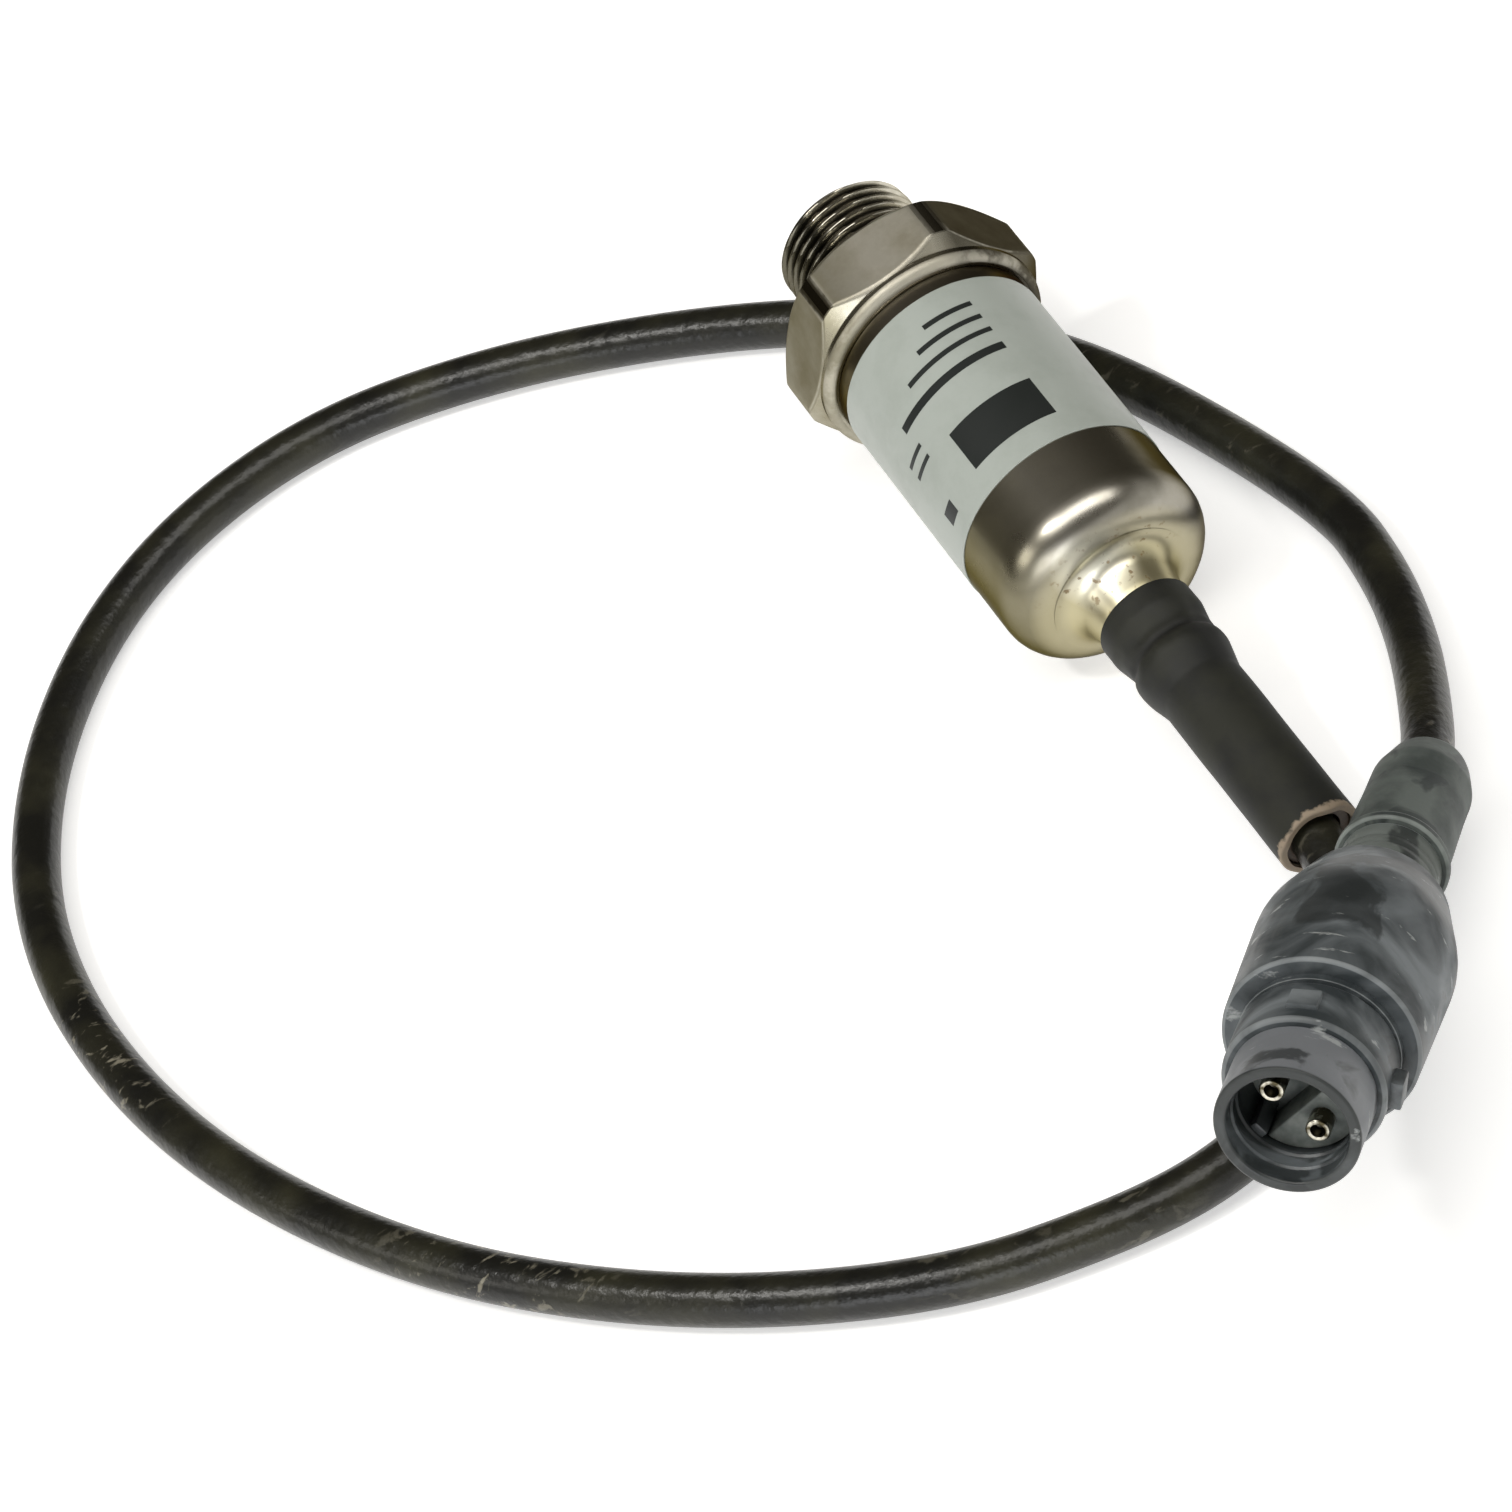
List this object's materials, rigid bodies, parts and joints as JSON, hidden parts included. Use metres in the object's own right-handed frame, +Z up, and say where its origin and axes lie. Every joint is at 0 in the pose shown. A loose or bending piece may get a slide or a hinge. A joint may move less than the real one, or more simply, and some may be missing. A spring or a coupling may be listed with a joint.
{
  "type": "pressure sensor",
  "caption": "Hydraulic pressure sensor: threaded hexagon, drawn steel can with a bare label, shrink sleeve, and a looped cable ending in a round plug with recessed pins.",
  "frame": {"origin": "middle of the transmitter, from thread tip to sleeve mouth, on the floor it lies on", "axes": "+X towards the thread end, along the transmitter as it lies; +Z up; the transmitter leans 8 degrees with its thread end up, propped by its own cable"},
  "size_m": [0.1944, 0.1479, 0.0367],
  "materials": {
    "turned_stainless": "turned and milled, worn",
    "cell_steel": "ground",
    "lead_metal": "gold-flashed",
    "carrier_plastic": "moulded, matte",
    "board_laminate": "solder mask",
    "chip_epoxy": "moulded, matte",
    "brown_insulation": "satin",
    "white_insulation": "satin",
    "black_insulation": "satin",
    "drawn_stainless": "drawn, satin, stained at the neck",
    "label_film": "satin laminate, bare",
    "potting_epoxy": "cast",
    "polyolefin_sleeve": "shrunk, matte",
    "hot_melt_liner": "melted adhesive",
    "cable_jacket": "matte, scuffed",
    "boot_rubber": "matte, chalky",
    "barrel_plastic": "moulded, chalky wear",
    "shroud_plastic": "moulded, worn edges",
    "insert_plastic": "moulded",
    "contact_metal": "plated, worn"
  },
  "bodies": {
    "root": {"process_connection": "turned_stainless", "measuring_cell": "cell_steel", "cell_leads": "lead_metal", "board_carrier": "carrier_plastic", "circuit_board": "board_laminate", "board_chips": "chip_epoxy", "supply_core": "brown_insulation", "signal_core": "white_insulation", "screen_core": "black_insulation", "sensor_case": "drawn_stainless", "label": "label_film", "potting_plug": "potting_epoxy", "shrink_sleeve": "polyolefin_sleeve", "sleeve_liner": "hot_melt_liner", "cable_lead_in": "cable_jacket", "cable": "cable_jacket", "connector_boot": "boot_rubber", "connector_barrel": "barrel_plastic", "connector_shroud": "shroud_plastic", "pin_carrier": "insert_plastic", "contact_pin_1": "contact_metal", "contact_pin_2": "contact_metal", "plug_core_1": "brown_insulation", "plug_core_2": "white_insulation"}
  },
  "joints": []
}
